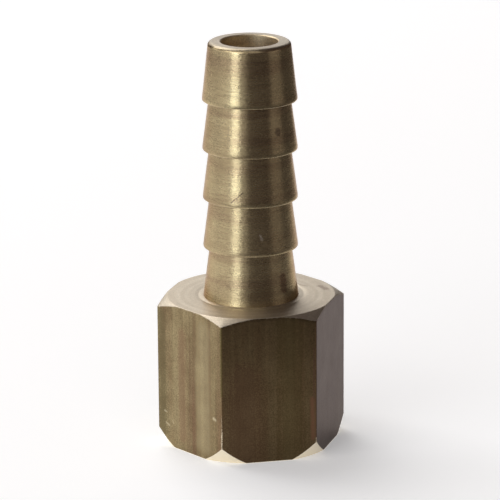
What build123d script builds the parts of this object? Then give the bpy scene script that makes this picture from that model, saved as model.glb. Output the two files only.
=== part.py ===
from build123d import *
import os
from math import cos, radians, tan

# Hose tail with a hexagonal female thread end, turned from one length of hexagon bar.
# The origin is the centre of the threaded end's face. +Z runs along the axis to the hose end,
# and two of the six flats face -Y and +Y. Millimetres and degrees.

# Hexagonal body
across_flats = 17.0
hexagon_height = 15.3
shoulder_circle_margin = 0.2    # the flat shoulder's circle is this much wider than the flats
shoulder_chamfer_angle = 30.0   # from the shoulder's plane
mouth_circle_margin = 0.6       # the same for the flat ring round the threaded mouth
mouth_chamfer_angle = 60.0      # from the mouth's plane

# Threaded socket, bored to the thread's minor diameter
thread_minor_diameter = 11.445
thread_major_diameter = 13.157
socket_depth = 12.0
countersink_clearance = 0.2     # how far the countersink opens past the thread's roots
countersink_angle = 90.0        # included angle
drill_point_angle = 118.0       # included angle

# Barbed tail
barb_count = 4
barb_pitch = 5.1
root_diameter = 8.35
barb_height = 0.65
crest_land = 0.2
neck_length = 5.25              # shoulder to the first crest above it
nose_length = 5.95              # last crest to the tip
tip_edge_radius = 0.4

# Flow bore
bore_diameter = 5.8
bore_edge_break = 0.1

# Sizes that follow
flat_distance = across_flats / 2
corner_distance = flat_distance / cos(radians(30))
turning_radius = corner_distance + 1.0
shoulder_circle_radius = flat_distance + shoulder_circle_margin / 2
mouth_circle_radius = flat_distance + mouth_circle_margin / 2
shoulder_chamfer_height = (turning_radius - shoulder_circle_radius) * tan(radians(shoulder_chamfer_angle))
mouth_chamfer_height = (turning_radius - mouth_circle_radius) * tan(radians(mouth_chamfer_angle))

root_radius = root_diameter / 2
crest_radius = root_radius + barb_height
neck_foot_radius = root_radius + barb_height * neck_length / (barb_pitch - crest_land)
first_crest_height = hexagon_height + neck_length
last_crest_height = first_crest_height + (barb_count - 1) * barb_pitch
tip_height = last_crest_height + nose_length

bore_radius = bore_diameter / 2
socket_radius = thread_minor_diameter / 2
countersink_radius = thread_major_diameter / 2 + countersink_clearance
countersink_depth = (countersink_radius - socket_radius) / tan(radians(countersink_angle / 2))
drill_point_height = (socket_radius - bore_radius) / tan(radians(drill_point_angle / 2))

with BuildPart() as hose_tail:
    # The hexagon bar, standing on its threaded end.
    with BuildSketch(Plane.XY):
        RegularPolygon(radius=flat_distance, side_count=6, major_radius=False)
    extrude(amount=hexagon_height)

    # Turning takes the corners off in two cones, which leave curved arcs on the flats.
    with BuildSketch(Plane.XZ):
        with BuildLine():
            Polyline(
                (0, 0),
                (mouth_circle_radius, 0),
                (turning_radius, mouth_chamfer_height),
                (turning_radius, hexagon_height - shoulder_chamfer_height),
                (shoulder_circle_radius, hexagon_height),
                (0, hexagon_height),
                close=True,
            )
        make_face()
    revolve(axis=Axis.Z, mode=Mode.INTERSECT)

    # The neck and the barbs: each barb widens from its root to a narrow cylindrical crest land,
    # and ends in a square step down to the root of the cone below it.
    with BuildSketch(Plane.XZ):
        with BuildLine():
            Polyline(
                (0, hexagon_height),
                (neck_foot_radius, hexagon_height),
                (root_radius, first_crest_height),
                (0, first_crest_height),
                close=True,
            )
        make_face()
        for barb in range(barb_count):
            crest_height = first_crest_height + barb * barb_pitch
            cone_end = crest_height + (barb_pitch if barb < barb_count - 1 else nose_length)
            with BuildLine():
                Polyline(
                    (0, crest_height),
                    (crest_radius, crest_height),
                    (crest_radius, crest_height + crest_land),
                    (root_radius, cone_end),
                    (0, cone_end),
                    close=True,
                )
            make_face()
    revolve(axis=Axis.Z)

    # Socket, drill point and flow bore.
    with BuildSketch(Plane.XZ):
        with BuildLine():
            Polyline(
                (0, 0),
                (countersink_radius, 0),
                (socket_radius, countersink_depth),
                (socket_radius, socket_depth),
                (bore_radius, socket_depth + drill_point_height),
                (bore_radius, tip_height),
                (0, tip_height),
                close=True,
            )
        make_face()
    revolve(axis=Axis.Z, mode=Mode.SUBTRACT)

    # At the tip the outer edge is rounded, and the edge of the bore is just broken.
    tip_edges = hose_tail.edges().group_by(Axis.Z)[-1].sort_by(SortBy.RADIUS)
    fillet(tip_edges[-1], radius=tip_edge_radius)
    tip_edges = hose_tail.edges().group_by(Axis.Z)[-1].sort_by(SortBy.RADIUS)
    chamfer(tip_edges[0], length=bore_edge_break)

hose_tail.part.label = "hose_tail"

os.makedirs("parts", exist_ok=True)
export_step(hose_tail.part, "parts/hose_tail.step")
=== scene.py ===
"""Looks of a brass hose tail with a hexagonal female thread end.

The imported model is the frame. One piece stands for its only node: a hexagon bar body with turned
corners, a barbed tail, a through bore and a threaded socket, all in satin brass.
"""

import logging
import math
from dataclasses import dataclass
from enum import Enum, IntEnum
from typing import Callable, Iterable

import bmesh
import bpy
from mathutils import Matrix, Vector

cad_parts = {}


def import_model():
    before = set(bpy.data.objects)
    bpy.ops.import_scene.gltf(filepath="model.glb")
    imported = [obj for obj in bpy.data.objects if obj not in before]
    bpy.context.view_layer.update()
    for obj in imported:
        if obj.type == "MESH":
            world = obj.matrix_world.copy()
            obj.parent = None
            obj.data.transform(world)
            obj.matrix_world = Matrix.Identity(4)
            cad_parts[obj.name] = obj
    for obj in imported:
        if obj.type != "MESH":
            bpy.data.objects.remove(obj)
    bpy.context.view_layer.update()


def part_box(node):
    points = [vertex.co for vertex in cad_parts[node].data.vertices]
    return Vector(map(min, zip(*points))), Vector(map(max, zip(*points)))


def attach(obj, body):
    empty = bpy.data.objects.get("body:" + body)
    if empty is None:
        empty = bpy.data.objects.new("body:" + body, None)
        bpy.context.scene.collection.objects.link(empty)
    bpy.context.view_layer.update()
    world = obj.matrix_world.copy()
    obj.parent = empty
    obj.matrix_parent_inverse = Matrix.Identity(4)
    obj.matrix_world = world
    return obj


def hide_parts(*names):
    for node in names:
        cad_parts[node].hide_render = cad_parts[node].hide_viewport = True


log = logging.getLogger("hose_tail")

MM = 0.001
NODE = "hose_tail"
BODY = "root"

Colour = tuple[float, float, float, float]
Edges = list[bmesh.types.BMEdge]
Socket = bpy.types.NodeSocket
Input = Socket | float | Colour


def rgb(red: float, green: float, blue: float) -> Colour:
    """Returns an opaque linear colour."""
    return (red, green, blue, 1.0)


class Zone(IntEnum):
    """How each part of the surface was machined; also its material index."""

    TURNED = 0
    DRAWN = 1
    FACED = 2
    BORED = 3
    TIP = 4
    MOUTH = 5


# --------------------------------------------------------------------------------------
# Mesh helpers
# --------------------------------------------------------------------------------------


def angle_of(point: Vector) -> float:
    """Returns the angle of a point about the turning axis, in radians."""
    return math.atan2(point.y, point.x)


def polar(radius: float, angle: float, height: float) -> Vector:
    """Returns the point at a radius, an angle about the axis and a height."""
    return Vector((radius * math.cos(angle), radius * math.sin(angle), height))


def radius_of(point: Vector) -> float:
    """Returns the distance of a point from the turning axis."""
    return math.hypot(point.x, point.y)


def off_corner(angle: float) -> float:
    """Returns how far an angle about the axis lies from the hexagon's nearest corner."""
    return abs((angle + math.pi / 6) % (math.pi / 3) - math.pi / 6)


def direction(azimuth: float, elevation: float) -> Vector:
    """Returns the unit vector from the object towards an azimuth and an elevation."""
    level = math.cos(elevation)
    return Vector((math.sin(azimuth) * level, -math.cos(azimuth) * level, math.sin(elevation)))


def ring_edges(mesh: bmesh.types.BMesh, height: float, radius: float, slack: float = 1e-6) -> Edges:
    """Finds the edges of one turned ring.

    Args:
        mesh: the mesh to look in.
        height: the ring's height.
        radius: the ring's radius.
        slack: how far a vertex may lie from either.

    Returns:
        The edges whose two ends lie on the ring.
    """
    def on_ring(vertex: bmesh.types.BMVert) -> bool:
        return abs(vertex.co.z - height) < slack and abs(radius_of(vertex.co) - radius) < slack

    return [edge for edge in mesh.edges if all(on_ring(vertex) for vertex in edge.verts)]


def open_edges(mesh: bmesh.types.BMesh, height: float, slack: float = 1e-6) -> Edges:
    """Returns the boundary edges that lie at a height."""
    return [
        edge for edge in mesh.edges
        if edge.is_boundary and all(abs(vertex.co.z - height) < slack for vertex in edge.verts)
    ]


def round_edges(mesh: bmesh.types.BMesh, edges: Edges, offset: float, segments: int = 3) -> None:
    """Rounds edges in place.

    Args:
        mesh: the mesh that holds them.
        edges: the edges to round.
        offset: the width taken from each side.
        segments: how many faces make the round.
    """
    bmesh.ops.bevel(
        mesh, geom=edges, offset=offset, offset_type="OFFSET", segments=segments, profile=0.5,
        affect="EDGES", clamp_overlap=True, material=-1, loop_slide=True,
    )


def extrude_ring(
    mesh: bmesh.types.BMesh,
    edges: Edges,
    place: Callable[[Vector], Vector],
    zone: Zone,
) -> Edges:
    """Extrudes a closed ring of edges and moves the new ring.

    Args:
        mesh: the mesh that holds the ring.
        edges: the ring's edges.
        place: gives a new vertex its place from its old one.
        zone: the zone of the new faces.

    Returns:
        The new ring's edges.
    """
    made = bmesh.ops.extrude_edge_only(mesh, edges=edges)["geom"]
    for item in made:
        if isinstance(item, bmesh.types.BMVert):
            item.co = place(item.co)
        elif isinstance(item, bmesh.types.BMFace):
            item.material_index = zone
    fresh = {item for item in made if isinstance(item, bmesh.types.BMVert)}
    return [item for item in made if isinstance(item, bmesh.types.BMEdge) and fresh.issuperset(item.verts)]


def wire(mesh: bmesh.types.BMesh, points: Iterable[tuple[float, float]]) -> Edges:
    """Draws an open profile in the XZ plane.

    Args:
        mesh: the mesh to draw in.
        points: radius and height of each corner.

    Returns:
        The profile's edges, in order.
    """
    verts = [mesh.verts.new((radius, 0.0, height)) for radius, height in points]
    return [mesh.edges.new(pair) for pair in zip(verts, verts[1:])]


def spin(mesh: bmesh.types.BMesh, edges: Edges, steps: int, pitch: float = 0.0) -> None:
    """Turns a profile once about the Z axis.

    Args:
        mesh: the mesh that holds the profile.
        edges: the profile's edges.
        steps: how many steps make the turn.
        pitch: the rise in the turn, for a thread.
    """
    geometry = list({vertex for edge in edges for vertex in edge.verts}) + edges
    bmesh.ops.spin(
        mesh, geom=geometry, cent=(0, 0, 0), axis=(0, 0, 1), dvec=(0, 0, pitch / steps),
        angle=2 * math.pi, steps=steps, use_merge=pitch == 0.0, use_duplicate=False,
    )


# --------------------------------------------------------------------------------------
# Sub-assemblies
# --------------------------------------------------------------------------------------


@dataclass
class HexagonBody:
    """The hexagon bar body, with its turned corners and all its creases rounded."""

    across_flats: float
    height: float = 15.3 * MM
    corner_round: float = 0.30 * MM
    corner_offset: float = 0.175 * MM
    corner_segments: int = 7
    flat_cuts: int = 43
    wall_rows: int = 44
    shoulder_circle: float = 8.6 * MM
    shoulder_angle: float = math.radians(30)
    mouth_circle: float = 8.8 * MM
    mouth_angle: float = math.radians(60)
    shoulder_inner: float = 6.6 * MM
    mouth_inner: float = 7.4 * MM
    crease_round: float = 0.06 * MM
    crease_steps: int = 3
    # Levels of tarnish and painted shade, one for each flat: the high levels of the front and right front
    # flats are mostly painted shade standing in for their dark reflections; the others are tarnish.
    flat_tarnish_and_shade: tuple[float, ...] = (0.35, 0.8, 0.5, 0.1, 0.9, 1.0)

    def flat_tarnish_and_shade_at(self, angle: float) -> float:
        """Returns the level of tarnish and painted shade on the flat at an angle."""
        return self.flat_tarnish_and_shade[math.floor(angle / (math.pi / 3)) % 6]

    def bar_radius(self, angle: float) -> float:
        """Returns the bar's radius at an angle, with its rounded corners."""
        flat = self.across_flats / 2
        turn = off_corner(angle)
        centre = (flat - self.corner_round) / math.cos(math.pi / 6)
        straight = flat / math.cos(math.pi / 6 - turn)
        aside = centre * math.sin(turn)
        if aside > self.corner_round:
            return straight
        arc = centre * math.cos(turn) + math.sqrt(self.corner_round ** 2 - aside ** 2)
        return min(straight, arc)

    def crease(self, bar: float, circle: float, slope: float) -> list[tuple[float, float]]:
        """Rounds the meeting of an end face, its turned chamfer and the bar, as a rolling ball would.

        Args:
            bar: the bar's radius here.
            circle: the radius at which the chamfer meets the end face.
            slope: the chamfer's angle from the end face.

        Returns:
            Radius and depth below the end face, from the face round to the wall.
        """
        ball = self.crease_round
        inner = circle - ball * math.tan(slope / 2)
        wall = bar - ball
        depth = ball + max(0.0, (wall - inner) * math.tan(slope))
        centres = ((min(inner, wall), ball, 0.0, slope), (wall, depth, slope, math.pi / 2))
        return [
            (radius + ball * math.sin(low + (high - low) * step / self.crease_steps),
             down - ball * math.cos(low + (high - low) * step / self.crease_steps))
            for radius, down, low, high in centres for step in range(self.crease_steps + 1)
        ]

    def section(self, angle: float) -> list[tuple[float, float]]:
        """Returns radius and height from the mouth's inner ring up to the shoulder's."""
        bar = self.bar_radius(angle)
        mouth = self.crease(bar, self.mouth_circle, self.mouth_angle)
        shoulder = [(radius, self.height - down)
                    for radius, down in self.crease(bar, self.shoulder_circle, self.shoulder_angle)]
        low, high = mouth[-1][1], shoulder[-1][1]
        wall = [(bar, low + (high - low) * row / self.wall_rows) for row in range(1, self.wall_rows)]
        first, last = (self.mouth_inner, 0.0), (self.shoulder_inner, self.height)
        return [first, *mouth, *wall, *reversed(shoulder), last]

    def ring_zone(self, ring: int, count: int) -> Zone:
        """Returns the zone of the faces below a ring of the section."""
        ends = self.crease_steps * 2 + 1
        if ring <= ends:
            return Zone.MOUTH
        return Zone.DRAWN if ring < count - ends else Zone.FACED

    def outline(self, mesh: bmesh.types.BMesh) -> Edges:
        """Draws the bar's section with rounded corners.

        Args:
            mesh: the mesh to draw in.

        Returns:
            The edges of the closed outline, at height zero.
        """
        corner = self.across_flats / 2 / math.cos(math.pi / 6)
        bmesh.ops.create_circle(mesh, cap_ends=True, radius=corner, segments=6)
        turn = -angle_of(next(iter(mesh.verts)).co)
        bmesh.ops.rotate(mesh, verts=list(mesh.verts), cent=(0, 0, 0), matrix=Matrix.Rotation(turn, 3, "Z"))
        bmesh.ops.bevel(
            mesh, geom=list(mesh.verts), offset=self.corner_offset, offset_type="OFFSET",
            segments=self.corner_segments, profile=0.5, affect="VERTICES", material=-1,
        )
        flats = [edge for edge in mesh.edges if edge.calc_length() > self.across_flats / 4]
        bmesh.ops.subdivide_edges(mesh, edges=flats, cuts=self.flat_cuts)
        bmesh.ops.delete(mesh, geom=list(mesh.faces), context="FACES_ONLY")
        return list(mesh.edges)

    def build(self) -> bmesh.types.BMesh:
        """Returns the body's outside, open at its inner shoulder and mouth rings."""
        mesh = bmesh.new()
        ring = self.outline(mesh)
        for vertex in mesh.verts:
            vertex.co = polar(self.mouth_inner, angle_of(vertex.co), 0.0)
        count = len(self.section(0.0))
        for index in range(1, count):

            def place(point: Vector, index: int = index) -> Vector:
                angle = angle_of(point)
                radius, height = self.section(angle)[index]
                return polar(radius, angle, height)

            ring = extrude_ring(mesh, ring, place, self.ring_zone(index, count))
        bmesh.ops.remove_doubles(mesh, verts=list(mesh.verts), dist=2e-7)
        return mesh


@dataclass
class BarbedTail:
    """The neck, the barbs, the tip and the flow bore, turned as one profile."""

    tip_height: float
    foot_height: float = 15.3 * MM
    barb_count: int = 4
    pitch: float = 5.1 * MM
    root_radius: float = 4.175 * MM
    crest_radius: float = 4.825 * MM
    crest_land: float = 0.2 * MM
    neck_length: float = 5.25 * MM
    tip_round: float = 0.4 * MM
    tip_segments: int = 7
    bore_radius: float = 2.9 * MM
    bore_break: float = 0.1 * MM
    crest_round: float = 0.045 * MM
    rings_below_crest: tuple[float, ...] = (0.7 * MM, 0.3 * MM, 0.1 * MM)
    rings_above_crest: tuple[float, ...] = (0.3 * MM, 1.0 * MM)
    shoulder_outer: float = 6.2 * MM
    ring_radius: float = 5.38 * MM
    ring_width: float = 0.09 * MM
    ring_depth: float = 0.03 * MM
    socket_radius: float = 5.7225 * MM
    socket_floor: float = 12.0 * MM
    socket_end: float = 11.8 * MM
    drill_angle: float = math.radians(59)
    steps: int = 192

    @property
    def taper(self) -> float:
        """Radius lost for each step up a barb."""
        return (self.crest_radius - self.root_radius) / (self.pitch - self.crest_land)

    @property
    def neck_foot_radius(self) -> float:
        """The neck has the barbs' taper."""
        return self.root_radius + self.taper * self.neck_length

    @property
    def crest_heights(self) -> list[float]:
        """Heights of the square undersides of the crests, from the neck up."""
        return [self.foot_height + self.neck_length + barb * self.pitch for barb in range(self.barb_count)]

    def profile(self) -> list[tuple[float, float, Zone]]:
        """Returns radius, height and zone from the shoulder, over the tip and down the bore."""
        points = [
            (self.shoulder_outer, self.foot_height, Zone.FACED),
            (self.ring_radius + self.ring_width, self.foot_height, Zone.FACED),
            (self.ring_radius, self.foot_height - self.ring_depth, Zone.FACED),
            (self.ring_radius - self.ring_width, self.foot_height, Zone.FACED),
            (self.neck_foot_radius, self.foot_height, Zone.FACED),
        ]
        for crest in self.crest_heights:
            top = crest + self.crest_land
            points += [
                (self.root_radius + self.taper * drop, crest - drop, Zone.TURNED)
                for drop in self.rings_below_crest
            ]
            points += [
                (self.root_radius, crest, Zone.TURNED),
                (self.crest_radius, crest, Zone.TURNED),
                (self.crest_radius, top, Zone.TURNED),
            ]
            points += [
                (self.crest_radius - self.taper * rise, top + rise, Zone.TURNED)
                for rise in self.rings_above_crest
            ]
        drill_height = (self.socket_radius - self.bore_radius) / math.tan(self.drill_angle)
        points += [
            (self.root_radius, self.tip_height, Zone.TURNED),
            (self.bore_radius + self.bore_break, self.tip_height, Zone.TIP),
            (self.bore_radius, self.tip_height - self.bore_break, Zone.BORED),
            (self.bore_radius, self.socket_floor + drill_height, Zone.BORED),
            (self.socket_radius, self.socket_floor, Zone.BORED),
            (self.socket_radius, self.socket_end, Zone.BORED),
        ]
        return points

    def build(self) -> bmesh.types.BMesh:
        """Returns the tail's surface, open at the shoulder and in the socket."""
        mesh = bmesh.new()
        points = self.profile()
        edges = wire(mesh, [(radius, height) for radius, height, _ in points])
        spin(mesh, edges, self.steps)
        bmesh.ops.remove_doubles(mesh, verts=list(mesh.verts), dist=1e-7)
        self.zone_faces(mesh, points)
        for crest in self.crest_heights:
            round_edges(mesh, ring_edges(mesh, crest, self.crest_radius), self.crest_round)
        rim = ring_edges(mesh, self.tip_height, self.root_radius)
        round_edges(mesh, rim, self.tip_round, self.tip_segments)
        return mesh

    def zone_faces(self, mesh: bmesh.types.BMesh, points: list[tuple[float, float, Zone]]) -> None:
        """Gives each face the zone of the profile stretch that made it."""
        for face in mesh.faces:
            centre = face.calc_center_median()
            radius = sum(radius_of(vertex.co) for vertex in face.verts) / len(face.verts)

            def miss(index: int) -> float:
                (r0, z0, _), (r1, z1, _) = points[index], points[index + 1]
                return math.hypot((r0 + r1) / 2 - radius, (z0 + z1) / 2 - centre.z)

            face.material_index = points[min(range(len(points) - 1), key=miss) + 1][2]


@dataclass
class ThreadedSocket:
    """The female pipe thread, with its countersunk mouth and its run-out."""

    minor_radius: float = 5.7225 * MM
    major_radius: float = 6.5785 * MM
    pitch: float = 1.337 * MM
    flank_angle: float = math.radians(27.5)
    countersink_radius: float = 6.7785 * MM
    full_thread_end: float = 9.6 * MM
    runout_end: float = 11.2 * MM
    top: float = 11.6 * MM
    flank_pieces: int = 4
    land_pieces: int = 2
    steps: int = 192

    def profile(self) -> list[tuple[float, float]]:
        """Returns radius and height over one pitch, root to root."""
        depth = self.major_radius - self.minor_radius
        flank = depth * math.tan(self.flank_angle)
        land = (self.pitch - 2 * flank) / 2
        points = [(self.major_radius, 0.0)]
        corners = [
            (self.major_radius, land / 2),
            (self.minor_radius, land / 2 + flank),
            (self.minor_radius, land * 1.5 + flank),
            (self.major_radius, land * 1.5 + 2 * flank),
            (self.major_radius, self.pitch),
        ]
        for corner in corners:
            last = points[-1]
            pieces = self.flank_pieces if abs(corner[0] - last[0]) > depth / 2 else self.land_pieces
            points += [
                (last[0] + (corner[0] - last[0]) * k / pieces, last[1] + (corner[1] - last[1]) * k / pieces)
                for k in range(1, pieces + 1)
            ]
        return points

    def blended_radius(self, radius: float, height: float) -> float:
        """Returns the thread's radius where it meets the countersink or runs out."""
        run = min(1.0, max(0.0, (self.runout_end - height) / (self.runout_end - self.full_thread_end)))
        cut = self.minor_radius + (radius - self.minor_radius) * run
        return max(cut, self.countersink_radius - max(0.0, height))

    def build(self) -> bmesh.types.BMesh:
        """Returns the threaded wall, open at the mouth and at its top."""
        mesh = bmesh.new()
        edges = wire(mesh, [(radius, height - 2 * self.pitch) for radius, height in self.profile()])
        spin(mesh, edges, self.steps, self.pitch)
        turn = list(mesh.verts) + list(mesh.edges) + list(mesh.faces)
        for _ in range(math.ceil(self.top / self.pitch) + 2):
            turn = bmesh.ops.duplicate(mesh, geom=turn)["geom"]
            lifted = [item for item in turn if isinstance(item, bmesh.types.BMVert)]
            bmesh.ops.translate(mesh, verts=lifted, vec=(0, 0, self.pitch))
        bmesh.ops.remove_doubles(mesh, verts=list(mesh.verts), dist=1e-6)
        for vertex in mesh.verts:
            radius, height = radius_of(vertex.co), vertex.co.z
            vertex.co = polar(self.blended_radius(radius, height), angle_of(vertex.co), height)
        for height, below in ((0.0, True), (self.top, False)):
            everything = list(mesh.verts) + list(mesh.edges) + list(mesh.faces)
            bmesh.ops.bisect_plane(
                mesh, geom=everything, dist=1e-8, plane_co=(0, 0, height), plane_no=(0, 0, 1),
                clear_inner=below, clear_outer=not below,
            )
        for face in mesh.faces:
            face.material_index = Zone.BORED
        return mesh


@dataclass(frozen=True)
class Handling:
    """How much the edges are rubbed and the roots under the crests darkened by dirt and painted shade, and
    how far that reaches.
    """

    corner_wear: float = 0.28
    corner_reach: float = 0.28 * MM
    foot_wear: float = 0.40
    foot_reach: float = 2.2 * MM
    knocked_corner: float = math.radians(-120)
    knock_wear: float = 0.25
    knock_height: float = 4.0 * MM
    knock_reach: float = 2.6 * MM
    mouth_crease_wear: float = 0.3
    shoulder_crease_wear: float = 0.58
    crease_reach: float = 0.08 * MM
    crease_slack: float = 0.01 * MM
    crest_wear: float = 0.85
    crest_reach: float = 0.1 * MM
    # How far the dirt and painted shade reach from the root under each crest.
    root_dirt_and_shade_reach: float = 0.22 * MM
    wall_margin: float = 0.5 * MM


@dataclass
class HoseTail:
    """The whole fitting: its parts joined in one closed mesh."""

    body: HexagonBody
    tail: BarbedTail
    socket: ThreadedSocket
    handling: Handling = Handling()
    sharp_angle: float = math.radians(38)

    def joined(self) -> bmesh.types.BMesh:
        """Returns the parts in one mesh, bridged at the shoulder, the mouth and the socket's top."""
        whole = bmesh.new()
        for part in (self.body, self.tail, self.socket):
            piece = part.build()
            data = bpy.data.meshes.new("part")
            piece.to_mesh(data)
            piece.free()
            whole.from_mesh(data)
            bpy.data.meshes.remove(data)
        for height in (self.body.height, 0.0):
            filled = bmesh.ops.triangle_fill(
                whole, edges=open_edges(whole, height), use_beauty=True, normal=(0, 0, 1))["geom"]
            for face in filled:
                if isinstance(face, bmesh.types.BMFace):
                    face.material_index = Zone.FACED
        top = open_edges(whole, self.socket.top) + open_edges(whole, self.tail.socket_end)
        for face in bmesh.ops.bridge_loops(whole, edges=top)["faces"]:
            face.material_index = Zone.BORED
        bmesh.ops.recalc_face_normals(whole, faces=list(whole.faces))
        return whole

    def in_bore(self, radius: float) -> bool:
        """Returns whether a radius lies inside the bore and its broken edge."""
        return radius <= self.tail.bore_radius + self.tail.bore_break

    def on_wall(self, radius: float) -> bool:
        """Returns whether a radius lies out at the hexagon's wall."""
        return radius >= self.body.across_flats / 2 - self.handling.wall_margin

    def crest_distance(self, ring: float, radius: float, height: float) -> float:
        """Returns the distance to the nearest crest's underside, at a ring's radius."""
        return min(math.hypot(radius - ring, height - crest) for crest in self.tail.crest_heights)

    def edge_wear(self, point: Vector) -> float:
        """Returns how much handling has rubbed the surface at a point, from 0 to 1; the mouth chamfer counts
        as fully rubbed, where its finish paints a reflection of the pale floor.
        """
        hand, radius = self.handling, radius_of(point)
        if self.in_bore(radius):
            return 0.0
        if not self.on_wall(radius):
            away = self.crest_distance(self.tail.crest_radius, radius, point.z)
            return hand.crest_wear * math.exp(-away / hand.crest_reach)
        angle = angle_of(point)
        section = self.body.section(angle)
        low = section[2 * self.body.crease_steps + 2][1]
        high = section[-2 * self.body.crease_steps - 3][1]
        # The mouth chamfer counts as fully rubbed, so it takes its finish's worn colour, which there is a
        # painted reflection of the pale floor.
        if point.z < low - hand.crease_slack:
            return 1.0
        at_mouth, at_shoulder = (math.exp(-abs(point.z - edge) / hand.crease_reach) for edge in (low, high))
        knocks = hand.corner_wear + hand.foot_wear * math.exp(-(point.z - low) / hand.foot_reach)
        if abs(angle - hand.knocked_corner) < math.pi / 6:
            away = (point.z - hand.knock_height) / hand.knock_reach
            knocks += hand.knock_wear * math.exp(-(away ** 2))
        corner = math.exp(-off_corner(angle) * self.body.across_flats / 2 / hand.corner_reach)
        creases = hand.mouth_crease_wear * at_mouth, hand.shoulder_crease_wear * at_shoulder
        return max(knocks * corner, *creases)

    def root_dirt_and_shade(self, point: Vector) -> float:
        """Returns how much dirt and painted shade darken the root under a crest at a point, from 0 to 1."""
        radius = radius_of(point)
        if self.in_bore(radius) or self.on_wall(radius):
            return 0.0
        away = self.crest_distance(self.tail.root_radius, radius, point.z)
        return math.exp(-away / self.handling.root_dirt_and_shade_reach)

    def build(self, materials: list[bpy.types.Material]) -> bpy.types.Object:
        """Makes the finished piece.

        Args:
            materials: one for each zone, in order.

        Returns:
            The object, standing for the frame's node.
        """
        mesh = self.joined()
        wear = mesh.verts.layers.float.new("edge_wear")
        root_dirt_and_shade = mesh.verts.layers.float.new("root_dirt_and_shade")
        flat_tarnish_and_shade = mesh.verts.layers.float.new("flat_tarnish_and_shade")
        for vertex in mesh.verts:
            vertex[wear] = self.edge_wear(vertex.co)
            # Each vertex takes how much dirt and painted shade darken it in the roots under the crests.
            vertex[root_dirt_and_shade] = self.root_dirt_and_shade(vertex.co)
            # Each vertex takes its flat's level of tarnish and painted shade.
            vertex[flat_tarnish_and_shade] = self.body.flat_tarnish_and_shade_at(angle_of(vertex.co))
        for face in mesh.faces:
            face.smooth = True
        for edge in mesh.edges:
            edge.smooth = len(edge.link_faces) != 2 or edge.calc_face_angle(0.0) < self.sharp_angle
        gaps = sum(edge.is_boundary for edge in mesh.edges)
        log.info("hose tail: %d faces, %d open edges", len(mesh.faces), gaps)
        data = bpy.data.meshes.new("hose_tail_brass")
        mesh.to_mesh(data)
        mesh.free()
        piece = bpy.data.objects.new("hose_tail_brass", data)
        bpy.context.scene.collection.objects.link(piece)
        for material in materials:
            data.materials.append(material)
        weighted = piece.modifiers.new("even_flats", "WEIGHTED_NORMAL")
        weighted.keep_sharp = True
        weighted.weight = 50
        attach(piece, BODY)
        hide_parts(NODE)
        return piece


# --------------------------------------------------------------------------------------
# Finishes
# --------------------------------------------------------------------------------------


@dataclass
class NodeGraph:
    """A shorthand for building one material's nodes."""

    material: bpy.types.Material

    def __post_init__(self) -> None:
        """Empties the material's node tree."""
        self.material.use_nodes = True
        self.tree = self.material.node_tree
        self.tree.nodes.clear()

    def add(self, kind: str, inputs: dict | None = None, **settings) -> bpy.types.Node:
        """Adds a node.

        Args:
            kind: the node's type, without its ShaderNode prefix.
            inputs: values or sockets for its inputs, by name or index.
            settings: the node's own properties.

        Returns:
            The new node.
        """
        node = self.tree.nodes.new("ShaderNode" + kind)
        for name, value in settings.items():
            setattr(node, name, value)
        for key, value in (inputs or {}).items():
            if isinstance(value, Socket):
                self.tree.links.new(value, node.inputs[key])
            else:
                node.inputs[key].default_value = value
        return node

    def math(self, operation: str, *values: Input, clamp: bool = False) -> Socket:
        """Returns the result of a Math node."""
        return self.add("Math", dict(enumerate(values)), operation=operation, use_clamp=clamp).outputs[0]

    def swing(self, noise: Socket, amount: float, middle: Input, clamp: bool = False) -> Socket:
        """Returns a noise's swing about a half, times an amount, added to a middle."""
        return self.math("MULTIPLY_ADD", self.math("SUBTRACT", noise, 0.5), amount, middle, clamp=clamp)

    def vector_math(
        self, operation: str, *values: Socket | tuple, result: int = 0, scale: Input | None = None,
    ) -> Socket:
        """Returns a result of a Vector Math node."""
        inputs = dict(enumerate(values))
        if scale is not None:
            inputs["Scale"] = scale
        return self.add("VectorMath", inputs, operation=operation).outputs[result]

    def ramp(self, value: Socket, low: float, high: float) -> Socket:
        """Returns a value stretched so that low gives 0 and high gives 1, clamped."""
        inputs = {"Value": value, "From Min": low, "From Max": high}
        return self.add("MapRange", inputs, clamp=True).outputs[0]

    def smooth_ramp(self, value: Socket, low: float, high: float) -> Socket:
        """Returns a value eased from 0 at low to 1 at high."""
        inputs = {"Value": value, "From Min": low, "From Max": high}
        return self.add("MapRange", inputs, interpolation_type="SMOOTHERSTEP").outputs[0]

    def noise(self, vector: Socket, scale: float, detail: float, roughness: float) -> Socket:
        """Returns a noise value over a vector."""
        inputs = {"Vector": vector, "Scale": scale, "Detail": detail, "Roughness": roughness}
        return self.add("TexNoise", inputs).outputs["Fac"]

    def mix(self, share: Input, first: Input, second: Input) -> Socket:
        """Returns two colours mixed."""
        node = self.add("Mix", data_type="RGBA")
        for key, value in ((0, share), (6, first), (7, second)):
            if isinstance(value, Socket):
                self.tree.links.new(value, node.inputs[key])
            else:
                node.inputs[key].default_value = value
        return node.outputs[2]


class Grain(Enum):
    """Which way the tool marks run."""

    AROUND = "around the axis"
    ALONG = "along the axis"
    RINGS = "rings on a face"


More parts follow.
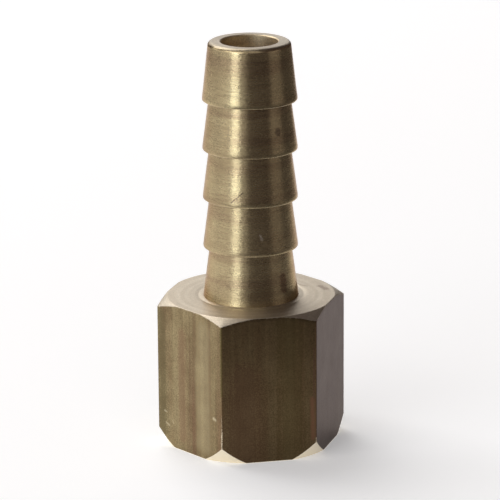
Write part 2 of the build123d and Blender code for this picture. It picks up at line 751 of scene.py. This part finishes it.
@dataclass(frozen=True)
class Mark:
    """A scratch, a nick or a stain: everything within a radius of a short line, in mm."""

    start: tuple[float, float, float]
    end: tuple[float, float, float]
    radius: float
    softness: float
    colour: Colour
    strength: float

    def share(self, graph: NodeGraph, place: Socket, waver: Socket) -> Socket:
        """Returns how much of the mark shows at a place.

        Args:
            graph: the material's nodes.
            place: the place, in mm.
            waver: a noise about 0.5 that makes the mark's edge uneven.

        Returns:
            The share, from 0 to the mark's strength.
        """
        line = Vector(self.end) - Vector(self.start)
        away = graph.vector_math("SUBTRACT", place, self.start)
        along = graph.vector_math("DOT_PRODUCT", away, tuple(line / max(line.length_squared, 1e-9)), result=1)
        kept = graph.math("MULTIPLY", along, 1.0, clamp=True)
        nearest = graph.vector_math("SCALE", tuple(line), scale=kept)
        distance = graph.vector_math("DISTANCE", away, nearest, result=1)
        uneven = graph.swing(waver, 4.0 * self.softness, distance)
        shown = graph.smooth_ramp(uneven, self.radius + self.softness, self.radius)
        return graph.math("MULTIPLY", shown, self.strength)


@dataclass(frozen=True)
class Texture:
    """The noises that make one finish, each from 0 to 1."""

    patches: Socket
    bands: Socket
    lines: Socket
    pits: Socket
    coarse_pits: Socket


@dataclass(frozen=True)
class BrassFinish:
    """Satin brass with the marks of one way of machining, its tarnish and painted shade, and its worn edges.
    """

    name: str
    grain: Grain
    bright: Colour
    dull: Colour
    stain: Colour
    roughness: float
    roughness_spread: float
    anisotropy: float
    mark_depth: float
    mark_scale: float
    pit_depth: float
    band_scale: float = 1.0
    stain_share: float = 0.5
    grain_contrast: float = 0.25
    # How far the flats take on their tarnish and painted shade.
    tarnish_and_shade_share: float = 0.0
    patch_scale: float = 0.45
    pit_scale: float = 7.5
    coarse_pit_scale: float = 2.4
    coarse_pit_depth: float = 1.5
    # Colour of rubbed edges; on the mouth chamfer it is a painted reflection of the pale floor.
    wear_and_reflection_colour: Colour = rgb(0.72, 0.62, 0.45)
    # Colour of the roots under the crests: dirt and painted shade.
    root_dirt_and_shade: Colour = rgb(0.13, 0.09, 0.06)
    # Colours of tarnish and painted shade on the flats; the darkest, near black, is painted shade on the
    # right front flat.
    tarnish_and_shade_colour: Colour = rgb(0.080, 0.051, 0.0255)
    darkest_shade_and_tarnish: Colour = rgb(0.060, 0.038, 0.030)
    edge_tint: Colour = rgb(1.0, 1.0, 1.0)
    marks: tuple[Mark, ...] = ()

    def marks_vector(self, graph: NodeGraph, place: Socket) -> Socket:
        """Returns coordinates in mm that are stretched along the tool marks."""
        if self.grain is Grain.ALONG:
            return graph.vector_math("MULTIPLY", place, (1.0, 1.0, 0.03))
        if self.grain is Grain.AROUND:
            return graph.vector_math("MULTIPLY", place, (0.10, 0.10, 1.0))
        flat = graph.vector_math("MULTIPLY", place, (1.0, 1.0, 0.0))
        radius = graph.vector_math("LENGTH", flat, result=1)
        slow = graph.vector_math("MULTIPLY", place, (0.03, 0.03, 0.3))
        across = graph.add("CombineXYZ", {"X": radius}).outputs[0]
        return graph.vector_math("ADD", across, slow)

    def texture(self, graph: NodeGraph, place: Socket) -> Texture:
        """Returns the finish's noises at a place."""
        marks = self.marks_vector(graph, place)
        return Texture(
            patches=graph.noise(place, self.patch_scale, 4.0, 0.6),
            bands=graph.noise(marks, self.band_scale, 2.0, 0.55),
            lines=graph.noise(marks, self.mark_scale, 4.0, 0.7),
            pits=graph.noise(place, self.pit_scale, 2.0, 0.7),
            coarse_pits=graph.noise(place, self.coarse_pit_scale, 2.0, 0.6),
        )

    def brass(self, graph: NodeGraph, texture: Texture) -> Socket:
        """Returns the brass's colour, with dull patches, stained bands, tarnish and painted shade, and grain.
        """
        banded = graph.math("MULTIPLY", texture.bands, 0.55)
        mottled = graph.math("MULTIPLY_ADD", texture.patches, 0.45, banded)
        stained = graph.math("MULTIPLY", graph.ramp(texture.bands, 0.52, 0.68), self.stain_share)
        colour = graph.mix(graph.ramp(mottled, 0.40, 0.60), self.bright, self.dull)
        colour = graph.mix(stained, colour, self.stain)
        # The flats darken by their level: tarnish, and painted shade on the front and right front flats.
        flat_tarnish_and_shade = graph.add("Attribute", attribute_name="flat_tarnish_and_shade").outputs["Fac"]
        tarnish_and_shade_colour = graph.mix(graph.ramp(flat_tarnish_and_shade, 0.92, 1.0), self.tarnish_and_shade_colour, self.darkest_shade_and_tarnish)
        colour = graph.mix(graph.math("MULTIPLY", flat_tarnish_and_shade, self.tarnish_and_shade_share), colour, tarnish_and_shade_colour)
        shade = graph.swing(texture.lines, self.grain_contrast * 1.5, 1.0)
        shade = graph.swing(texture.pits, self.grain_contrast * 3.4, shade)
        return graph.vector_math("SCALE", colour, scale=shade)

    def handled(self, graph: NodeGraph, texture: Texture, colour: Socket) -> Socket:
        """Returns a colour with dirt and painted shade in the roots under the crests, and rubbed edges."""
        # Roots under the crests darken: dirt and painted shade.
        dirt_and_shade = graph.add("Attribute", attribute_name="root_dirt_and_shade").outputs["Fac"]
        darkened_share = graph.ramp(graph.math("MULTIPLY_ADD", texture.coarse_pits, 0.4, dirt_and_shade), 0.45, 1.2)
        colour = graph.mix(darkened_share, colour, self.root_dirt_and_shade)
        # Rubbed edges lighten; on the mouth chamfer the lighter colour is a painted reflection of the pale
        # floor.
        edge = graph.add("Attribute", attribute_name="edge_wear").outputs["Fac"]
        coarse = graph.math("MULTIPLY", texture.coarse_pits, 0.35)
        speckle = graph.math("MULTIPLY_ADD", texture.pits, 0.35, coarse)
        return graph.mix(graph.ramp(graph.math("ADD", speckle, edge), 0.87, 1.10), colour, self.wear_and_reflection_colour)

    def marked(self, graph: NodeGraph, texture: Texture, place: Socket, colour: Socket) -> Socket:
        """Returns a colour with the finish's scratches, nicks and stains."""
        unlike = graph.math("SUBTRACT", texture.pits, texture.lines)
        waver = graph.math("MULTIPLY_ADD", unlike, 0.6, texture.lines)
        for mark in self.marks:
            colour = graph.mix(mark.share(graph, place, waver), colour, mark.colour)
        return colour

    def relief(self, graph: NodeGraph, texture: Texture) -> Socket:
        """Returns the normal, scored along the tool marks and then pitted."""
        steps = (
            (texture.lines, self.mark_depth),
            (texture.pits, self.pit_depth),
            (texture.coarse_pits, self.pit_depth * self.coarse_pit_depth),
        )
        normal = {}
        for height, depth in steps:
            bump = graph.add("Bump", {"Strength": 1.0, "Distance": depth, "Height": height, **normal})
            normal = {"Normal": bump.outputs[0]}
        return normal["Normal"]

    def material(self) -> bpy.types.Material:
        """Returns the finish as a node material."""
        made = bpy.data.materials.new(self.name)
        graph = NodeGraph(made)
        metres = graph.add("TexCoord").outputs["Object"]
        place = graph.vector_math("MULTIPLY", metres, (1 / MM, 1 / MM, 1 / MM))
        texture = self.texture(graph, place)
        colour = self.handled(graph, texture, self.brass(graph, texture))
        rough = graph.swing(texture.lines, self.roughness_spread * 2.0, self.roughness)
        rough = graph.swing(texture.patches, self.roughness_spread * 2.0, rough, clamp=True)
        turned = graph.add("Tangent", direction_type="RADIAL", axis="Z")
        shader = graph.add("BsdfPrincipled", {
            "Base Color": self.marked(graph, texture, place, colour), "Metallic": 1.0, "Roughness": rough,
            "Anisotropic": self.anisotropy, "Anisotropic Rotation": 0.25, "Specular Tint": self.edge_tint,
            "Normal": self.relief(graph, texture), "Tangent": turned.outputs[0],
        })
        graph.add("OutputMaterial", {"Surface": shader.outputs[0]})
        return made


def tail_marks() -> tuple[Mark, ...]:
    """Returns the marks on the tail."""
    dark, rust, bright = rgb(0.10, 0.065, 0.05), rgb(0.16, 0.075, 0.05), rgb(0.95, 0.86, 0.66)
    return (
        Mark((-2.80, -3.88, 26.15), (-1.66, -4.33, 27.24), 0.04, 0.05, dark, 0.80),
        Mark((-2.55, -4.00, 26.10), (-2.20, -4.16, 26.55), 0.03, 0.05, dark, 0.6),
        Mark((0.02, -4.57, 22.75), (0.20, -4.62, 22.30), 0.07, 0.07, bright, 1.0),
        Mark((2.02, -4.04, 33.35), (2.02, -4.06, 33.15), 0.22, 0.22, dark, 0.6),
        Mark((2.54, -3.72, 18.00), (2.59, -3.90, 16.80), 0.28, 0.30, rust, 0.6),
    )


def flat_marks() -> tuple[Mark, ...]:
    """Returns the marks on the hexagon's flats and edges."""
    rust, red, olive = rgb(0.17, 0.085, 0.05), rgb(0.11, 0.055, 0.04), rgb(0.10, 0.08, 0.03)
    ruddy, sand, murk = rgb(0.25, 0.15, 0.088), rgb(0.44, 0.365, 0.22), rgb(0.14, 0.115, 0.055)
    umber, moss, bright = rgb(0.088, 0.048, 0.028), rgb(0.084, 0.062, 0.024), rgb(0.80, 0.70, 0.48)
    return (
        Mark((-7.90, -3.32, 1.50), (-7.90, -3.32, 12.50), 0.30, 0.55, ruddy, 0.5),
        Mark((-6.25, -6.17, 1.50), (-6.25, -6.17, 13.50), 0.45, 0.90, sand, 0.35),
        Mark((-9.45, -0.63, 1.50), (-9.45, -0.63, 14.00), 0.20, 1.00, murk, 0.6),
        Mark((-2.60, -8.50, 1.00), (-2.60, -8.50, 9.00), 0.80, 1.40, umber, 0.5),
        Mark((2.20, -8.50, 1.00), (2.20, -8.50, 14.00), 0.60, 1.60, moss, 0.4),
        Mark((4.50, -8.50, 6.40), (4.60, -8.50, 2.20), 0.05, 0.30, rust, 0.75),
        Mark((4.66, -8.50, 11.80), (4.64, -8.50, 6.40), 0.03, 0.06, red, 0.6),
        Mark((-4.88, -8.46, 14.40), (-4.88, -8.46, 7.40), 0.06, 0.10, olive, 0.6),
        Mark((-5.40, -7.63, 4.60), (-5.50, -7.48, 4.70), 0.02, 0.22, bright, 0.5),
        Mark((-9.30, -0.90, 3.70), (-9.15, -1.16, 3.60), 0.00, 0.15, bright, 0.40),
        Mark((-9.20, -1.07, 2.45), (-8.95, -1.50, 2.25), 0.00, 0.15, bright, 0.40),
        Mark((-8.70, -1.94, 2.90), (-8.62, -2.08, 2.60), 0.00, 0.13, bright, 0.35),
    )


def shoulder_marks() -> tuple[Mark, ...]:
    """Returns the marks on the shoulder."""
    smudge = rgb(0.20, 0.135, 0.095)
    return (
        Mark((7.45, 1.00, 15.30), (7.92, -0.20, 15.25), 0.15, 0.30, smudge, 0.6),
        Mark((5.30, 2.40, 15.30), (6.10, 1.30, 15.30), 0.05, 0.15, smudge, 0.4),
    )


def finishes() -> list[BrassFinish]:
    """Returns the finish of each zone, in the zones' order."""
    return [
        BrassFinish(
            "brass_turned", Grain.AROUND,
            bright=rgb(0.53, 0.430, 0.25), dull=rgb(0.445, 0.345, 0.20), stain=rgb(0.36, 0.26, 0.165),
            roughness=0.27, roughness_spread=0.05, anisotropy=0.45, mark_depth=4e-6, mark_scale=5.0,
            pit_depth=7e-6, band_scale=0.9, stain_share=0.4, grain_contrast=0.26,
            edge_tint=rgb(0.80, 0.68, 0.62), marks=tail_marks(),
        ),
        BrassFinish(
            "brass_drawn", Grain.ALONG,
            bright=rgb(0.36, 0.285, 0.155), dull=rgb(0.235, 0.172, 0.090), stain=rgb(0.225, 0.135, 0.080),
            roughness=0.34, roughness_spread=0.06, anisotropy=0.35, mark_depth=5e-6, mark_scale=2.6,
            pit_depth=6e-6, band_scale=0.7, stain_share=0.8, grain_contrast=0.42, tarnish_and_shade_share=0.96,
            edge_tint=rgb(0.82, 0.79, 0.78), marks=flat_marks(),
        ),
        BrassFinish(
            "brass_faced", Grain.RINGS,
            bright=rgb(0.54, 0.475, 0.375), dull=rgb(0.49, 0.425, 0.33), stain=rgb(0.43, 0.36, 0.27),
            roughness=0.46, roughness_spread=0.04, anisotropy=0.0, mark_depth=2e-6, mark_scale=6.0,
            pit_depth=7e-6, band_scale=1.2, stain_share=0.4, grain_contrast=0.24, marks=shoulder_marks(),
        ),
        BrassFinish(
            "brass_bored", Grain.AROUND,
            bright=rgb(0.70, 0.58, 0.395), dull=rgb(0.60, 0.48, 0.31), stain=rgb(0.49, 0.355, 0.22),
            roughness=0.45, roughness_spread=0.08, anisotropy=0.2, mark_depth=1.2e-5, mark_scale=3.0,
            pit_depth=6e-6, band_scale=1.2, grain_contrast=0.35,
        ),
        BrassFinish(
            "brass_tip", Grain.RINGS,
            bright=rgb(0.36, 0.30, 0.21), dull=rgb(0.305, 0.25, 0.17), stain=rgb(0.25, 0.19, 0.125),
            roughness=0.34, roughness_spread=0.06, anisotropy=0.2, mark_depth=4e-6, mark_scale=5.0,
            pit_depth=8e-6, band_scale=1.2, grain_contrast=0.35,
        ),
        # The mouth chamfer: its near-white colours are a painted reflection of the pale floor, over rubbed
        # brass.
        BrassFinish(
            "brass_mouth", Grain.AROUND,
            bright=rgb(0.92, 0.84, 0.68), dull=rgb(0.80, 0.71, 0.56), stain=rgb(0.70, 0.60, 0.45),
            roughness=0.5, roughness_spread=0.06, anisotropy=0.0, mark_depth=4e-6, mark_scale=4.0,
            pit_depth=6e-6, wear_and_reflection_colour=rgb(0.92, 0.84, 0.68),
        ),
    ]


# --------------------------------------------------------------------------------------
# Studio
# --------------------------------------------------------------------------------------


@dataclass(frozen=True)
class Viewpoint:
    """The camera: turned about the object and looking slightly down on it."""

    azimuth: float = math.radians(-11.83)
    elevation: float = math.radians(16.32)
    distance: float = 335.1 * MM
    roll: float = math.radians(-0.394)
    aside: float = -0.075 * MM
    target_height: float = 19.95 * MM
    focal_pixels: float = 3283.0
    frame_pixels: float = 500.0
    sensor: float = 36.0

    def make(self) -> bpy.types.Object:
        """Makes the camera and makes it the scene's."""
        right = Vector((math.cos(self.azimuth), math.sin(self.azimuth), 0))
        back = direction(self.azimuth, self.elevation)
        target = right * self.aside + Vector((0, 0, self.target_height))
        data = bpy.data.cameras.new("camera")
        data.sensor_width = self.sensor
        data.lens = self.focal_pixels / self.frame_pixels * self.sensor
        data.clip_start, data.clip_end = 0.01, 20.0
        camera = bpy.data.objects.new("camera", data)
        bpy.context.scene.collection.objects.link(camera)
        up = back.cross(right)
        turn = Matrix((right, up, back)).transposed() @ Matrix.Rotation(self.roll, 3, "Z")
        camera.matrix_world = Matrix.Translation(target + back * self.distance) @ turn.to_4x4()
        bpy.context.scene.camera = camera
        return camera


@dataclass(frozen=True)
class Softbox:
    """A soft rectangular lamp that looks at the object; angles in degrees, azimuth from the camera's."""

    name: str
    azimuth: float
    elevation: float
    width: float
    height: float
    radiance: float
    distance: float = 1.2
    tint: tuple[float, float, float] = (1.0, 1.0, 1.0)
    target_height: float = 20 * MM

    def make(self, viewpoint: Viewpoint) -> bpy.types.Object:
        """Makes the lamp.

        Args:
            viewpoint: the camera's place, from which the azimuth counts.

        Returns:
            The lamp, as wide and high as its two angles seen from the object.
        """
        back = direction(viewpoint.azimuth + math.radians(self.azimuth), math.radians(self.elevation))
        data = bpy.data.lights.new(self.name, "AREA")
        data.shape = "RECTANGLE"
        data.size = 2 * self.distance * math.tan(math.radians(self.width / 2))
        data.size_y = 2 * self.distance * math.tan(math.radians(self.height / 2))
        data.color = self.tint
        data.energy = self.radiance * math.pi * data.size * data.size_y
        lamp = bpy.data.objects.new(self.name, data)
        bpy.context.scene.collection.objects.link(lamp)
        place = Vector((0, 0, self.target_height)) + back * self.distance
        lamp.matrix_world = Matrix.Translation(place) @ back.to_track_quat("Z", "Y").to_matrix().to_4x4()
        return lamp


@dataclass(frozen=True)
class Studio:
    """The floor with its painted pool of light, the lamps and the dim room round them."""

    floor_size: float = 3.0
    # Where the floor's painted pool of light lies and how far it reaches.
    pale_behind: float = 0.105
    pale_left: float = 0.085
    pale_radius: float = 0.163
    grey_radius: float = 0.192
    pale_paper: Colour = rgb(0.86, 0.86, 0.86)
    seen_white: float = 0.30
    # The grey far off is painted shade, dark for the metal to mirror.
    painted_shade_paper: Colour = rgb(0.135, 0.128, 0.126)
    room_colour: Colour = rgb(0.075, 0.056, 0.055)

    def paper(self, viewpoint: Viewpoint) -> bpy.types.Material:
        """Makes the floor's paper: a painted pool of pale light near the object, fading to painted shade, a
        grey, far from it.

        Some of its white shows to the camera and in reflections alone, so that no lamp has to whiten it.

        Args:
            viewpoint: the camera's place; the pale middle lies beyond the object from there and to its left.

        Returns:
            The paper.
        """
        paper = bpy.data.materials.new("floor_paper")
        graph = NodeGraph(paper)
        sine, cosine = math.sin(viewpoint.azimuth), math.cos(viewpoint.azimuth)
        middle = (-self.pale_behind * sine - self.pale_left * cosine,
                  self.pale_behind * cosine - self.pale_left * sine, 0.0)
        away = graph.vector_math("DISTANCE", graph.add("TexCoord").outputs["Object"], middle, result=1)
        # A painted pool of light: pale round the middle, fading to painted shade farther off; its white also
        # glows for the camera and in reflections.
        painted_falloff = graph.smooth_ramp(away, self.pale_radius, self.grey_radius)
        diffuse = graph.add("BsdfDiffuse", {"Color": graph.mix(painted_falloff, self.pale_paper, self.painted_shade_paper)})
        rays = graph.add("LightPath").outputs
        seen = graph.math("MAXIMUM", rays["Is Camera Ray"], rays["Is Glossy Ray"])
        seen = graph.math("MAXIMUM", seen, rays["Is Transmission Ray"])
        painted_pool = graph.math("SUBTRACT", 1.0, painted_falloff)
        share = graph.math("MULTIPLY", seen, graph.math("MULTIPLY", painted_pool, self.seen_white))
        white = graph.add("Emission", {"Color": rgb(1.0, 1.0, 1.0), "Strength": share})
        surface = graph.add("AddShader", {0: diffuse.outputs[0], 1: white.outputs[0]})
        graph.add("OutputMaterial", {"Surface": surface.outputs[0]})
        paper.cycles.emission_sampling = "NONE"
        return paper

    def floor(self, viewpoint: Viewpoint) -> bpy.types.Object:
        """Makes the floor and lays the paper on it."""
        mesh = bmesh.new()
        bmesh.ops.create_grid(mesh, x_segments=1, y_segments=1, size=self.floor_size / 2)
        data = bpy.data.meshes.new("floor")
        mesh.to_mesh(data)
        mesh.free()
        floor = bpy.data.objects.new("floor", data)
        bpy.context.scene.collection.objects.link(floor)
        data.materials.append(self.paper(viewpoint))
        return floor

    def room(self) -> None:
        """Makes the dim room."""
        world = bpy.data.worlds.new("room")
        bpy.context.scene.world = world
        world.use_nodes = True
        background = world.node_tree.nodes["Background"]
        background.inputs[0].default_value = self.room_colour
        background.inputs[1].default_value = 1.0

    def lamps(self) -> list[Softbox]:
        """Returns the lamps."""
        return [
            Softbox("key_strip", -38, 7, 20, 22, 4.3, tint=(0.90, 0.965, 1.0)),
            Softbox("key_edge", -18, 7, 18, 22, 0.5),
            Softbox("left_strip", -68, 8, 36, 24, 1.25),
            Softbox("left_panel", -105, 10, 34, 26, 0.98),
            Softbox("back_panel", 186, 18, 48, 24, 1.2),
            Softbox("right_panel", 72, 8, 34, 24, 0.33, tint=(1.0, 0.9, 0.85)),
            Softbox("high_left", -46, 31, 52, 18, 2.2),
            Softbox("high_front", 8, 32, 52, 16, 0.42),
            Softbox("high_back", -143, 50, 48, 38, 3.5),
            Softbox("ceiling", -30, 66, 70, 30, 0.45),
        ]

    def make(self, viewpoint: Viewpoint) -> None:
        """Makes the whole studio."""
        self.floor(viewpoint)
        self.room()
        for lamp in self.lamps():
            lamp.make(viewpoint)


def main() -> None:
    """Builds the fitting, its finishes, the camera and the studio, in that order."""
    logging.basicConfig(level=logging.INFO, format="%(name)s: %(message)s")
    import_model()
    low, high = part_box(NODE)
    piece = HoseTail(
        body=HexagonBody(across_flats=high.y - low.y),
        tail=BarbedTail(tip_height=high.z),
        socket=ThreadedSocket(),
    ).build([finish.material() for finish in finishes()])
    log.info("made %s", piece.name)

    viewpoint = Viewpoint()
    viewpoint.make()
    Studio().make(viewpoint)
    bpy.context.scene.view_settings.view_transform = "Standard"


if __name__ == "__main__":
    main()
